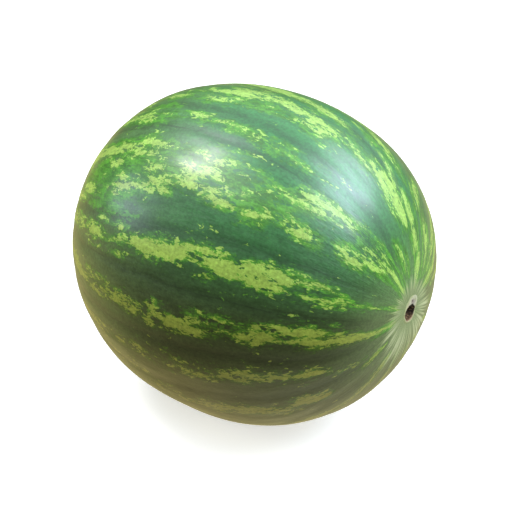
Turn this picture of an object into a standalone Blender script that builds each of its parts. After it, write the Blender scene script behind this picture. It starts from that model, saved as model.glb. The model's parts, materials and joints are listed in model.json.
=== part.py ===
"""A whole striped watermelon, lying on its side on the small flat that it rests on.

The fruit grew as one piece, so it is one solid. +X runs along the core to the stem end,
+Z is up, and the origin is on the surface it rests on, under the middle of its box.
"""

import math

import bmesh
import bpy
from mathutils import Matrix, Vector

# Size of the fruit, in metres. The length is pole to pole, before the ends sink in.
LENGTH = 0.280
WIDTH = 0.250

# Its long outline is a superellipse: 2 is an ellipse, and more is blunter at the ends.
FULLNESS = 2.2
# The stem half is fuller than the blossom half by this share.
TAPER = 0.015
# Its round outline is slightly taller than wide, and faintly three-sided, one side to
# each of the three seed chambers. One of the three bulges points this way.
OVAL = 0.012
CHAMBERS = 3
CHAMBER_BULGE = 0.018
CHAMBER_ANGLE = math.radians(106)

# Shallow ribs run from end to end, each as high as this above its mean.
RIBS = 17
RIB_HEIGHT = 0.0003
RIB_ANGLE = math.radians(152.5)

# Each end sinks into a shallow basin: how deep, and how far from the core it fades.
STEM_BASIN = (0.0010, 0.020)
BLOSSOM_BASIN = (0.0012, 0.016)
# The stem came away and left a small pit, a little below and beside the end of the core.
SCAR_PIT = (0.0036, 0.0052)
SCAR_PIT_DROP = 0.0040
SCAR_PIT_SIDE = 0.0015

# The flat that it rests on is cut this far above the lowest point of its round.
REST_CUT = 0.0018

# The mesh: lines from pole to pole, six to a rib, and rings, closest at the poles.
MERIDIANS = 6 * RIBS
RINGS = 40
POLE_CROWDING = 0.45

RIND_GREEN = (0.150, 0.270, 0.085, 1.0)
RIND_ROUGHNESS = 0.35
SHARP_EDGE = math.radians(10)


def clear_scene():
    """Removes every object of the scene that the script is run in."""
    for old in list(bpy.data.objects):
        bpy.data.objects.remove(old, do_unlink=True)


def crowded(angle):
    """Moves a ring towards the nearer pole, where the basins and the pit need more of them."""
    return angle - POLE_CROWDING * math.sin(2 * angle) / 2


def outline(colatitude):
    """(distance along the core, distance from the core) of the long outline."""
    along, across = math.cos(colatitude), math.sin(colatitude)
    reach = (abs(along) ** FULLNESS + abs(across) ** FULLNESS) ** (-1 / FULLNESS)
    fuller = 1 + TAPER * along
    return LENGTH / 2 * reach * along, WIDTH / 2 * reach * across * fuller


def out_of_round(longitude):
    """The share by which the round outline stands out in this direction."""
    oval = -OVAL * math.cos(2 * longitude)
    bulge = CHAMBER_BULGE * math.cos(CHAMBERS * (longitude - CHAMBER_ANGLE))
    rib = RIB_HEIGHT / (WIDTH / 2) * math.cos(RIBS * (longitude - RIB_ANGLE))
    return oval + bulge + rib


def dent(distance, depth, width):
    """How deep a basin or a pit is at this distance from its middle."""
    return depth * math.exp(-((distance / width) ** 2))


def rind_point(colatitude, longitude):
    """The point of the rind on this ring and meridian, measured from the fruit's middle."""
    along, radius = outline(colatitude)
    radius *= 1 + out_of_round(longitude) * math.sin(colatitude) ** 2
    across, up = radius * math.cos(longitude), radius * math.sin(longitude)
    if along > 0:
        from_pit = math.hypot(across - SCAR_PIT_SIDE, up + SCAR_PIT_DROP)
        along -= dent(radius, *STEM_BASIN) + dent(from_pit, *SCAR_PIT)
    else:
        along += dent(radius, *BLOSSOM_BASIN)
    return Vector((along, across, up))


def shape_fruit(bm):
    """Makes a unit ball, and moves each of its points to its place on the rind."""
    bmesh.ops.create_uvsphere(bm, u_segments=MERIDIANS, v_segments=RINGS, radius=1)
    for vert in bm.verts:
        colatitude = crowded(vert.co.angle(Vector((0, 0, 1))))
        longitude = math.atan2(vert.co.y, vert.co.x)
        vert.co = rind_point(colatitude, longitude)


def cut_rest_flat(bm):
    """Slices the bottom off level, and closes the cut with one flat face."""
    lowest = min(vert.co.z for vert in bm.verts)
    cut = bmesh.ops.bisect_plane(
        bm,
        geom=bm.verts[:] + bm.edges[:] + bm.faces[:],
        plane_co=(0, 0, lowest + REST_CUT),
        plane_no=(0, 0, -1),
        clear_outer=True,
    )
    rim = [piece for piece in cut["geom_cut"] if isinstance(piece, bmesh.types.BMEdge)]
    bmesh.ops.edgeloop_fill(bm, edges=rim)
    bmesh.ops.recalc_face_normals(bm, faces=bm.faces[:])


def stand_on_origin(bm):
    """Puts the middle of the box's underside at the origin."""
    points = [vert.co for vert in bm.verts]
    low = [min(point[axis] for point in points) for axis in range(3)]
    high = [max(point[axis] for point in points) for axis in range(3)]
    middle = Vector(((low[0] + high[0]) / 2, (low[1] + high[1]) / 2, low[2]))
    bm.transform(Matrix.Translation(-middle))


def rind_material():
    """The rind as one mean green, with the low sheen of its wax."""
    material = bpy.data.materials.new("waxy_rind")
    material.use_nodes = True
    shader = material.node_tree.nodes["Principled BSDF"]
    shader.inputs["Base Color"].default_value = RIND_GREEN
    shader.inputs["Roughness"].default_value = RIND_ROUGHNESS
    shader.inputs["Metallic"].default_value = 0.0
    material.diffuse_color = RIND_GREEN
    return material


def make_watermelon(collection):
    """The one solid of the part."""
    bm = bmesh.new()
    shape_fruit(bm)
    cut_rest_flat(bm)
    stand_on_origin(bm)
    mesh = bpy.data.meshes.new("watermelon")
    bm.to_mesh(mesh)
    bm.free()
    mesh.shade_smooth()
    mesh.set_sharp_from_angle(angle=SHARP_EDGE)
    mesh.materials.append(rind_material())
    fruit = bpy.data.objects.new("watermelon", mesh)
    collection.objects.link(fruit)
    return fruit


def main():
    clear_scene()
    collection = bpy.data.collections.new("Watermelon")
    bpy.context.scene.collection.children.link(collection)
    fruit = make_watermelon(collection)
    print("watermelon", [round(side, 4) for side in fruit.dimensions], "m")


main()
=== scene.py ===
# %% [markdown]
# # A striped watermelon
#
# The fruit is a round-oval watermelon, about 28 cm long and 25 cm across, lying on its
# side. Its rind is smooth and waxy, with ragged light stripes on dark green, and it has
# a corky scar at each end: where the stem came away, and where the flower was.
#
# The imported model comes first. It is the true size and the frame for all that follows.

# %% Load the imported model
import json
import math
import random

import bmesh
import bpy
import numpy as np
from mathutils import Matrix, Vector

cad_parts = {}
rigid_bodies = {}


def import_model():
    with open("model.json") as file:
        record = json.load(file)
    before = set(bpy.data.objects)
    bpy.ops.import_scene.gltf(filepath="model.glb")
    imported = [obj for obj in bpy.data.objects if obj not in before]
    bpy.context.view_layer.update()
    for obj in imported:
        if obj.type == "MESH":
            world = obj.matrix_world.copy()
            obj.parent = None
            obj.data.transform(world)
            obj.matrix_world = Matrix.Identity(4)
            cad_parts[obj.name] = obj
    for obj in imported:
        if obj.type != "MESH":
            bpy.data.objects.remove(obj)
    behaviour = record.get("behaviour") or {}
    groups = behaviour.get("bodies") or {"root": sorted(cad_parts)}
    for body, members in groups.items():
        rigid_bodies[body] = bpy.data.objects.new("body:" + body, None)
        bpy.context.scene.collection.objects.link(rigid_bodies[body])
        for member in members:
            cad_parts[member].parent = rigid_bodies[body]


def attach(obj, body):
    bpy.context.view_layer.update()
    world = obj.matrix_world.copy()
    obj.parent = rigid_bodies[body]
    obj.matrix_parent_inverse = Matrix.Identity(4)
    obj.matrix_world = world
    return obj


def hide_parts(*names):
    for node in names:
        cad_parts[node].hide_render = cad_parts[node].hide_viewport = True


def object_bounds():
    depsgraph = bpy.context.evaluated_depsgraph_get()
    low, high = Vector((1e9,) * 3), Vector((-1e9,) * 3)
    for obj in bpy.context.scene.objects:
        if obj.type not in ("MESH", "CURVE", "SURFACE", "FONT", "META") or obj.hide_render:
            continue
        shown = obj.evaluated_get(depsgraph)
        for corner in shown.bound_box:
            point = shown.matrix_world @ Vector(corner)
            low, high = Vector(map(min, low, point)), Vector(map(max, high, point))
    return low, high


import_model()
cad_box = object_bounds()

MM = 0.001
MATH = "ShaderNodeMath"
VECTOR = "ShaderNodeVectorMath"
MIX = "ShaderNodeMix"
NOISE = "ShaderNodeTexNoise"
RANGE = "ShaderNodeMapRange"

low = np.array(cad_box[0])
high = np.array(cad_box[1])
print("packed box in mm:", ((high - low) / MM).round(1))


def add(tree, kind, feeds=None, **settings):
    """Adds a node with its settings, feeds its inputs, and returns its first live output.

    feeds maps an input's name or number to a constant or to another node's output.
    """
    node = tree.nodes.new(kind)
    for name, value in settings.items():
        setattr(node, name, value)
    for key, feed in (feeds or {}).items():
        if isinstance(feed, bpy.types.NodeSocket):
            tree.links.new(feed, node.inputs[key])
        else:
            node.inputs[key].default_value = feed
    return next((output for output in node.outputs if output.enabled), node)


def linear(code):
    """Turns an sRGB hex colour into the linear colour that shaders take."""
    parts = [int(code[i : i + 2], 16) / 255 for i in (1, 3, 5)]
    return [c / 12.92 if c <= 0.04045 else ((c + 0.055) / 1.055) ** 2.4 for c in parts] + [1.0]


# %% [markdown]
# ## The shape of the fruit
#
# A watermelon swells evenly around its core, so its shape follows a rule: a long outline
# that is a little blunter than an ellipse, turned around the core, and a round outline
# that is a little taller than wide and faintly three-sided, one side for each seed
# chamber. Shallow ribs run from end to end, both ends sink into shallow basins, and the
# fruit sags to a small flat where it lies.
#
# It could be sculpted or turned from a drawn profile, but then each of those sizes would
# be lost in the mesh. Geometry Nodes keep the rule itself: a ball goes in, each of its
# points is moved to its place, and every size is a named input.

# %% The sizes of the fruit
BODY_SIZES = {
    "Length": 280 * MM,
    "Width": 250 * MM,
    "Fullness": 2.2,
    "Taper": 0.015,
    "Oval": 0.012,
    "Chamber Bulge": 0.018,
    "Chamber Angle": math.radians(106),
    "Rib Count": 17.0,
    "Rib Height": 0.3 * MM,
    "Rib Angle": math.radians(152.5),
    "Stem Basin": 1.0 * MM,
    "Stem Basin Reach": 20 * MM,
    "Blossom Basin": 1.2 * MM,
    "Blossom Basin Reach": 16 * MM,
    "Scar Pit": 3.6 * MM,
    "Scar Pit Reach": 5.2 * MM,
    "Scar Pit Drop": 4.0 * MM,
    "Scar Pit Side": 1.5 * MM,
    "Rest Cut": 1.8 * MM,
    "Rest Softness": 0.8 * MM,
    "Lump Height": 0.5 * MM,
    "Lump Size": 45 * MM,
    "Lump Seed": 3.0,
    "Pole Crowding": 0.45,
}
# The ball that is shaped into the fruit has this many meridians to a rib, and rings.
MERIDIANS_PER_RIB = 28
RINGS = 204
segments = MERIDIANS_PER_RIB * int(BODY_SIZES["Rib Count"])
print("ball:", segments, "meridians,", RINGS, "rings")

# %% Start the body's tree with its named inputs
body_tree = bpy.data.node_groups.new("melon body", "GeometryNodeTree")
body_tree.is_modifier = True
body_tree.interface.new_socket("Geometry", in_out="INPUT", socket_type="NodeSocketGeometry")
for name in BODY_SIZES:
    body_tree.interface.new_socket(name, in_out="INPUT", socket_type="NodeSocketFloat")
body_tree.interface.new_socket("Rind", in_out="INPUT", socket_type="NodeSocketMaterial")
body_tree.interface.new_socket("Geometry", in_out="OUTPUT", socket_type="NodeSocketGeometry")
size = add(body_tree, "NodeGroupInput").node.outputs
print("named sizes:", len(BODY_SIZES))

# %% [markdown]
# The ball's poles become the two ends of the fruit. Each point of the ball has an angle
# down from the stem end, and an angle around the core. Both are stored as attributes
# before the points move, because the stripes will need them. The rings are crowded
# towards the poles, where the basins and the pit need more of them.

# %% Read the two angles of each point
ball_feeds = {"Segments": segments, "Rings": RINGS, "Radius": 1.0}
ball = add(body_tree, "GeometryNodeMeshUVSphere", ball_feeds)
position = add(body_tree, "GeometryNodeInputPosition")
place = add(body_tree, "ShaderNodeSeparateXYZ", {0: position}).node.outputs
longitude = add(body_tree, MATH, {0: place["Y"], 1: place["X"]}, operation="ARCTAN2")
even = add(body_tree, MATH, {0: place["Z"]}, operation="ARCCOSINE")
twice = add(body_tree, MATH, {0: even, 1: 2.0}, operation="MULTIPLY")
swing = add(body_tree, MATH, {0: twice}, operation="SINE")
crowding = add(body_tree, MATH, {0: size["Pole Crowding"], 1: -0.5}, operation="MULTIPLY")
colatitude = add(body_tree, MATH, {0: swing, 1: crowding, 2: even}, operation="MULTIPLY_ADD")
tagged = ball
for name, angle in (("colatitude", colatitude), ("longitude", longitude)):
    tag_feeds = {"Geometry": tagged, "Name": name, "Value": angle}
    tagged = add(body_tree, "GeometryNodeStoreNamedAttribute", tag_feeds)
print("two angles:", len(body_tree.nodes), "nodes")

# %% [markdown]
# The long outline is a superellipse: a power of 2 gives an ellipse, and a higher one is
# blunter at the ends. The taper makes the stem half a little fuller.

# %% Draw the long outline
cosine = add(body_tree, MATH, {0: colatitude}, operation="COSINE")
sine = add(body_tree, MATH, {0: colatitude}, operation="SINE")
cosine_size = add(body_tree, MATH, {0: cosine}, operation="ABSOLUTE")
cosine_power = add(body_tree, MATH, {0: cosine_size, 1: size["Fullness"]}, operation="POWER")
sine_power = add(body_tree, MATH, {0: sine, 1: size["Fullness"]}, operation="POWER")
powers = add(body_tree, MATH, {0: cosine_power, 1: sine_power}, operation="ADD")
root = add(body_tree, MATH, {0: -1.0, 1: size["Fullness"]}, operation="DIVIDE")
reach = add(body_tree, MATH, {0: powers, 1: root}, operation="POWER")
half_length = add(body_tree, MATH, {0: size["Length"], 1: 0.5}, operation="MULTIPLY")
half_width = add(body_tree, MATH, {0: size["Width"], 1: 0.5}, operation="MULTIPLY")
along_part = add(body_tree, MATH, {0: reach, 1: cosine}, operation="MULTIPLY")
across_part = add(body_tree, MATH, {0: reach, 1: sine}, operation="MULTIPLY")
along = add(body_tree, MATH, {0: half_length, 1: along_part}, operation="MULTIPLY")
round_radius = add(body_tree, MATH, {0: half_width, 1: across_part}, operation="MULTIPLY")
fuller = add(body_tree, MATH, {0: size["Taper"], 1: cosine, 2: 1.0}, operation="MULTIPLY_ADD")
tapered = add(body_tree, MATH, {0: round_radius, 1: fuller}, operation="MULTIPLY")
print("long outline:", len(body_tree.nodes), "nodes")

# %% [markdown]
# The round outline is out of round by three waves around the core: the oval, the three
# seed chambers, and the ribs. They fade towards the ends, so that each pole stays closed.

# %% Turn it around the core, slightly out of round
oval_wave = add(body_tree, MATH, {0: longitude, 1: 2.0}, operation="MULTIPLY")
oval_wave = add(body_tree, MATH, {0: oval_wave}, operation="COSINE")
oval_wave = add(body_tree, MATH, {0: oval_wave, 1: size["Oval"]}, operation="MULTIPLY")
chamber_wave = add(body_tree, MATH, {0: longitude, 1: size["Chamber Angle"]}, operation="SUBTRACT")
chamber_wave = add(body_tree, MATH, {0: chamber_wave, 1: 3.0}, operation="MULTIPLY")
chamber_wave = add(body_tree, MATH, {0: chamber_wave}, operation="COSINE")
chamber_wave = add(body_tree, MATH, {0: chamber_wave, 1: size["Chamber Bulge"]}, operation="MULTIPLY")
rib_share = add(body_tree, MATH, {0: size["Rib Height"], 1: half_width}, operation="DIVIDE")
rib_wave = add(body_tree, MATH, {0: longitude, 1: size["Rib Angle"]}, operation="SUBTRACT")
rib_wave = add(body_tree, MATH, {0: rib_wave, 1: size["Rib Count"]}, operation="MULTIPLY")
rib_wave = add(body_tree, MATH, {0: rib_wave}, operation="COSINE")
waves = add(body_tree, MATH, {0: chamber_wave, 1: oval_wave}, operation="SUBTRACT")
waves = add(body_tree, MATH, {0: rib_wave, 1: rib_share, 2: waves}, operation="MULTIPLY_ADD")
waist = add(body_tree, MATH, {0: sine, 1: sine}, operation="MULTIPLY")
out_of_round = add(body_tree, MATH, {0: waves, 1: waist, 2: 1.0}, operation="MULTIPLY_ADD")
radius = add(body_tree, MATH, {0: tapered, 1: out_of_round}, operation="MULTIPLY")
turn_y = add(body_tree, MATH, {0: longitude}, operation="COSINE")
turn_z = add(body_tree, MATH, {0: longitude}, operation="SINE")
across = add(body_tree, MATH, {0: radius, 1: turn_y}, operation="MULTIPLY")
upward = add(body_tree, MATH, {0: radius, 1: turn_z}, operation="MULTIPLY")
print("round outline:", len(body_tree.nodes), "nodes")

# %% [markdown]
# A basin at each end, and the pit in the stem's, are bell curves that fade with the
# distance from their middle. The pit is a little below and beside the end of the core.

# %% Sink the ends
pit_up = add(body_tree, MATH, {0: upward, 1: size["Scar Pit Drop"]}, operation="ADD")
pit_across = add(body_tree, MATH, {0: across, 1: size["Scar Pit Side"]}, operation="SUBTRACT")
pit_offset = add(body_tree, "ShaderNodeCombineXYZ", {"X": 0.0, "Y": pit_across, "Z": pit_up})
pit_distance = add(body_tree, VECTOR, {0: pit_offset}, operation="LENGTH")
stem_end = add(body_tree, MATH, {0: cosine, 1: 0.0}, operation="GREATER_THAN")
blossom_end = add(body_tree, MATH, {0: cosine, 1: 0.0}, operation="LESS_THAN")
sunk = along
for distance, depth, width, end, side in (
    (radius, "Stem Basin", "Stem Basin Reach", stem_end, -1.0),
    (pit_distance, "Scar Pit", "Scar Pit Reach", stem_end, -1.0),
    (radius, "Blossom Basin", "Blossom Basin Reach", blossom_end, 1.0),
):
    share = add(body_tree, MATH, {0: distance, 1: size[width]}, operation="DIVIDE")
    square = add(body_tree, MATH, {0: share, 1: share}, operation="MULTIPLY")
    fade = add(body_tree, MATH, {0: square, 1: -1.0}, operation="MULTIPLY")
    bell = add(body_tree, MATH, {0: fade}, operation="EXPONENT")
    dent = add(body_tree, MATH, {0: bell, 1: size[depth]}, operation="MULTIPLY")
    dent = add(body_tree, MATH, {0: dent, 1: end}, operation="MULTIPLY")
    sunk = add(body_tree, MATH, {0: dent, 1: side, 2: sunk}, operation="MULTIPLY_ADD")
rind_point = add(body_tree, "ShaderNodeCombineXYZ", {"X": sunk, "Y": across, "Z": upward})
print("ends:", len(body_tree.nodes), "nodes")

# %% [markdown]
# No fruit is as even as its rule, so slow lumps press it in here and there. Where it
# lies it has sagged: no point is lower than the cut, and the rim of the flat is soft.

# %% Add the lumps and the resting flat
lump_scale = add(body_tree, MATH, {0: 1.0, 1: size["Lump Size"]}, operation="DIVIDE")
lump_feeds = {"Vector": rind_point, "W": size["Lump Seed"], "Scale": lump_scale, "Detail": 2.0}
lumps = add(body_tree, NOISE, lump_feeds, noise_dimensions="4D")
lump_share = add(body_tree, MATH, {0: size["Lump Height"], 1: half_width}, operation="DIVIDE")
pressed = add(body_tree, MATH, {0: lumps, 1: lump_share}, operation="MULTIPLY")
kept = add(body_tree, MATH, {0: 1.0, 1: pressed}, operation="SUBTRACT")
lumpy_point = add(body_tree, VECTOR, {0: rind_point, "Scale": kept}, operation="SCALE")
swollen = add(body_tree, "GeometryNodeSetPosition", {"Geometry": tagged, "Position": lumpy_point})

swollen_position = add(body_tree, "GeometryNodeInputPosition")
height = add(body_tree, "ShaderNodeSeparateXYZ", {0: swollen_position}).node.outputs
spread = add(body_tree, "GeometryNodeAttributeStatistic", {"Geometry": swollen, 2: height["Z"]}).node.outputs
rest_level = add(body_tree, MATH, {0: spread["Min"], 1: size["Rest Cut"]}, operation="ADD")
rest_feeds = {0: height["Z"], 1: rest_level, 2: size["Rest Softness"]}
rested = add(body_tree, MATH, rest_feeds, operation="SMOOTH_MAX")
rest_point = add(body_tree, "ShaderNodeCombineXYZ", {"X": height["X"], "Y": height["Y"], "Z": rested})
lying = add(body_tree, "GeometryNodeSetPosition", {"Geometry": swollen, "Position": rest_point})
print("lumps and flat:", len(body_tree.nodes), "nodes")

# %% Finish the body's tree
realized = add(body_tree, "GeometryNodeRealizeInstances", {0: lying})
smooth = add(body_tree, "GeometryNodeSetShadeSmooth", {0: realized})
painted = add(body_tree, "GeometryNodeSetMaterial", {"Geometry": smooth, "Material": size["Rind"]})
add(body_tree, "NodeGroupOutput", {"Geometry": painted})
print("melon body:", len(body_tree.nodes), "nodes")


# %% [markdown]
# The tree is a rule, not yet a mesh. A modifier on an empty seed object runs it. Its
# result is copied out as a plain mesh, and the seed is thrown away.

# %% Turn the tree into a plain mesh
def grow(name, tree, sizes, material_input, material):
    """Runs a node tree on an empty mesh and returns the result as a plain mesh object."""
    seed_mesh = bpy.data.meshes.new(name + " seed")
    seed = bpy.data.objects.new(name + " seed", seed_mesh)
    bpy.context.scene.collection.objects.link(seed)
    modifier = seed.modifiers.new("grow", "NODES")
    modifier.node_group = tree
    for socket in tree.interface.items_tree:
        if socket.in_out == "INPUT" and socket.name in sizes:
            modifier[socket.identifier] = sizes[socket.name]
        if socket.in_out == "INPUT" and socket.name == material_input:
            modifier[socket.identifier] = material
    evaluated = seed.evaluated_get(bpy.context.evaluated_depsgraph_get())
    mesh = bpy.data.meshes.new_from_object(evaluated)
    mesh.name = name
    bpy.data.objects.remove(seed, do_unlink=True)
    piece = bpy.data.objects.new(name, mesh)
    bpy.context.scene.collection.objects.link(piece)
    return piece


rind = bpy.data.materials.new("waxy_rind")
rind.use_nodes = True
melon = grow("striped_rind", body_tree, BODY_SIZES, "Rind", rind)
print("striped rind:", len(melon.data.polygons), "faces")

# %% [markdown]
# ## Set the fruit in the frame
#
# The rule builds the fruit around its own middle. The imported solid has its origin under
# the middle of its box, so the mesh is moved there, and drawn in by a hair so that it
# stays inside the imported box.

# %% Move it to its place
SNUG = 0.9996

points = np.zeros(len(melon.data.vertices) * 3)
melon.data.vertices.foreach_get("co", points)
points = points.reshape(-1, 3)
shift = (low + high) / 2 - (points.min(0) + points.max(0)) / 2
shift[2] = low[2] - points[:, 2].min()
points = points + shift
fit = SNUG * min(1.0, float(((high - low) / (points.max(0) - points.min(0))).min()))
foot = np.array([(low[0] + high[0]) / 2, (low[1] + high[1]) / 2, low[2]])
points = foot + (points - foot) * fit
core = Vector(shift)
print("middle of the core:", (np.array(core) / MM).round(2), "mm, drawn in by", round(1 - fit, 5))

# %% [markdown]
# ## Where the stripes run
#
# A light stripe isn't one line. It is a run of ragged patches that start, swell, lean and
# die out on the way from one end to the other. A painter would lay each down as a short
# stroke, so that is how they are listed: where each stroke starts and ends, as degrees
# down from the stem end and degrees around the core, how wide it is, and how bold.
# The far side has strokes of the same kind, laid by a loop with a fixed seed.
#
# Painting a picture and wrapping it around the fruit would need an image. Here the
# strokes only say how likely light rind is at each point. The material's noise then
# tears their edges.

# %% Lay the strokes of the near side
# Each stroke: from (down, around), to (down, around), half width in degrees, boldness.
NEAR_STROKES = [
    # the bold stripe just above the middle of the near side
    (5, 154, 13, 155, 3.6, 0.75),
    (13, 155, 30, 156, 1.4, 0.85),
    (29, 155.8, 46, 156, 1.7, 1.00),
    (31, 150.8, 50, 148.5, 2.2, 1.00),
    (33, 153, 38, 152.5, 1.0, 0.70),
    (49, 151, 62, 151.5, 5.0, 1.10),
    (51, 154.5, 60, 156, 2.0, 0.90),
    (60, 152.6, 77, 152.6, 3.3, 1.10),
    (66, 150, 79, 150.4, 1.9, 1.05),
    (70, 157.6, 74, 157.8, 1.3, 0.80),
    (77, 151, 83, 152.3, 1.8, 1.00),
    (80, 153, 100, 156, 3.3, 1.10),
    (86, 157.5, 93, 159, 1.5, 0.80),
    (99, 155.5, 110, 158, 2.6, 0.92),
    (102, 151.3, 108, 151.8, 1.3, 0.85),
    (102, 161.5, 107, 161, 1.6, 0.85),
    (111, 157.5, 122, 157.8, 3.0, 1.10),
    (122, 158, 134, 157, 2.5, 0.90),
    # the one below it, wide and full of holes
    (3, 186, 11, 187, 7.0, 0.95),
    (10, 186, 22, 183, 4.2, 1.00),
    (20, 182, 34, 176.5, 5.5, 1.10),
    (30, 179.5, 46, 177.5, 3.2, 1.00),
    (34, 173, 46, 172, 3.2, 1.00),
    (44, 171.3, 57, 171.5, 2.2, 1.05),
    (44, 177.3, 50, 176.5, 1.6, 0.90),
    (51, 176, 61, 176.3, 3.6, 1.05),
    (31, 169.5, 36, 168.5, 1.6, 0.85),
    (43, 167.8, 53, 167.5, 1.3, 0.80),
    (59, 172.5, 67, 172.5, 1.6, 0.85),
    (60, 176.5, 66, 175, 1.3, 0.75),
    (65, 171.8, 79, 174.3, 2.8, 0.88),
    (66, 176, 76, 178, 1.6, 0.76),
    (73, 177.8, 86, 177, 3.0, 0.94),
    (85, 175, 91, 173.5, 3.0, 0.74),
    (86, 178.5, 92, 179, 2.4, 0.72),
    (94, 177, 106, 177, 4.6, 0.70),
    (102, 178.3, 116, 179.5, 3.4, 0.74),
    (109, 173.5, 123, 176.5, 3.0, 0.74),
    (120, 178.5, 134, 176, 4.4, 0.76),
    # a thin, broken one that turns away underneath
    (22, 206, 32, 203.5, 1.8, 0.85),
    (31, 203, 38, 197.5, 1.8, 0.95),
    (35, 197, 45, 195.5, 3.6, 0.86),
    (39, 198.5, 46, 197, 1.3, 0.80),
    (46, 195.5, 54, 194, 3.2, 0.80),
    (55, 194.5, 67, 193.5, 4.2, 0.80),
    (57, 190.8, 63, 190.5, 1.6, 0.80),
    (65, 195, 76, 195, 2.4, 0.78),
    (75, 195, 88, 196, 3.8, 0.80),
    (80, 192, 86, 191.5, 1.5, 0.78),
    (88, 195, 101, 193.5, 3.6, 0.72),
    (98, 194, 113, 194, 3.6, 0.74),
    (112, 196, 130, 195, 3.6, 0.85),
    # the lowest, wide and soft
    (14, 214, 24, 213, 3.0, 0.80),
    (37, 217, 47, 215, 4.0, 0.95),
    (44, 211.5, 49, 211.5, 1.6, 0.80),
    (48, 219, 58, 217, 4.2, 0.90),
    (56, 215, 68, 214, 4.0, 0.88),
    (65, 213, 79, 212, 4.6, 0.84),
    (80, 212, 96, 211, 3.6, 0.72),
    (94, 206, 112, 204, 3.0, 0.70),
    (110, 215, 130, 214, 4.0, 0.85),
    # the lower half of the wide, broken stripe over the shoulder
    (30, 130.5, 39, 130, 3.6, 1.15),
    (44.5, 132.5, 53.5, 132.5, 2.6, 1.15),
    (53, 130.3, 59, 130.5, 1.4, 0.80),
    (56, 132.5, 61, 131.5, 1.0, 0.80),
    (60, 131.8, 69, 135.3, 1.7, 1.00),
    (62, 136, 68, 136.5, 0.9, 0.80),
    (69, 128.8, 80, 131, 1.9, 1.05),
    (71, 134.3, 80, 133.8, 1.9, 1.00),
    (74, 131.5, 82, 131.5, 2.2, 1.00),
    (80, 132.5, 92, 130.8, 2.6, 1.00),
    (78, 127.5, 91, 127, 4.0, 0.72),
    (90, 131, 97, 130.5, 1.6, 0.90),
    (92, 136, 98, 135, 1.7, 0.95),
    (92, 132.5, 104, 131, 4.2, 0.78),
    (97, 138, 104, 137.3, 2.4, 0.95),
    (106, 138, 114, 138.5, 2.8, 1.05),
    (111, 141.5, 117, 141, 1.5, 0.85),
    (109, 151.5, 115, 152, 1.2, 0.95),
    (121, 144, 132, 142, 3.2, 0.95),
    # and its upper half
    (4, 113, 12, 117, 7.0, 0.95),
    (11, 117, 20, 119, 5.0, 0.90),
    (20, 121, 31, 124, 7.0, 0.80),
    (21, 115, 30, 115, 3.0, 0.78),
    (24, 114, 29, 112.5, 1.6, 0.80),
    (34, 113.5, 38, 114, 1.3, 0.75),
    (38, 117, 56, 118, 1.8, 1.00),
    (42, 119.8, 54, 119.6, 1.1, 0.90),
    (47, 121.5, 63, 122.7, 1.4, 1.00),
    (58, 123, 70, 123.6, 1.7, 0.95),
    (64, 121.5, 70, 121.5, 1.1, 0.85),
    (68, 119.5, 77, 118.5, 1.2, 0.75),
    (76, 121.5, 90, 121.5, 2.8, 0.95),
    (80, 125, 88, 125.5, 1.6, 0.80),
    (88, 121, 98, 120.5, 1.3, 0.70),
    (97, 121.3, 111, 122.3, 1.8, 1.05),
    (103, 125.3, 112, 127.5, 1.8, 1.00),
    (114, 131, 120, 131.5, 2.2, 1.00),
    (98, 121.3, 113, 123, 1.6, 1.00),
    (109, 124, 121, 125.5, 3.2, 1.10),
    (119, 127, 132, 127, 3.2, 1.10),
    (108, 128.5, 118, 128, 1.4, 0.90),
    # a thin line between the bold ones
    (50, 107.5, 57, 108, 1.3, 0.70),
    (57, 109.8, 69, 109, 1.5, 0.95),
    (63, 107.3, 70, 107, 1.1, 0.85),
    (69, 108.5, 78, 108, 1.7, 0.95),
    (79, 108, 90, 107.5, 1.7, 0.85),
    (90, 107.8, 103, 107.4, 1.8, 0.90),
    (103, 108.6, 113, 108.5, 1.7, 0.95),
    (110, 109.5, 122, 110, 2.4, 1.05),
    (120, 110, 132, 109.5, 2.2, 1.00),
    (115, 112.8, 119, 112.8, 0.9, 0.85),
    # the bold stripe over the top
    (13, 93, 24, 99, 3.0, 0.85),
    (6, 69, 17, 66, 9.0, 0.85),
    (19, 72, 36, 73, 4.6, 1.00),
    (27, 80, 40, 80.5, 4.4, 1.05),
    (31, 84.5, 48, 83, 5.2, 1.15),
    (31, 88.3, 37, 88, 1.8, 0.95),
    (40, 77.5, 50, 72.5, 1.8, 1.00),
    (45, 87.3, 53, 87, 2.4, 0.85),
    (49, 80, 54, 81.5, 1.4, 0.75),
    (53, 86.5, 61, 86, 3.0, 0.74),
    (59, 94.3, 66, 94.5, 1.4, 0.80),
    (60, 88.5, 78, 88, 5.2, 0.86),
    (62, 93, 73, 92.5, 2.4, 0.95),
    (76, 86.5, 92, 86, 4.6, 0.84),
    (78, 92.5, 88, 91, 1.3, 0.80),
    (90, 96, 103, 96.5, 3.2, 0.86),
    (84, 88.5, 99, 89.5, 4.8, 0.84),
    (97, 91.5, 109, 91, 2.6, 0.84),
    (109, 94.5, 122, 96, 2.2, 0.80),
    (120, 98, 132, 98, 3.0, 0.85),
    # the stripes that turn away over the top
    (12, 47, 30, 53, 5.0, 0.90),
    (33, 59, 43, 55, 4.6, 0.85),
    (44, 66, 54, 62, 2.0, 0.80),
    (50, 66, 60, 64, 3.4, 0.90),
    (58, 70, 66, 72, 2.0, 0.70),
    (8, 24, 20, 19, 7.0, 0.85),
    (14, 36, 34, 33, 4.0, 0.85),
    (32, 34, 60, 37, 4.0, 1.00),
]
print("near strokes:", len(NEAR_STROKES))

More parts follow.
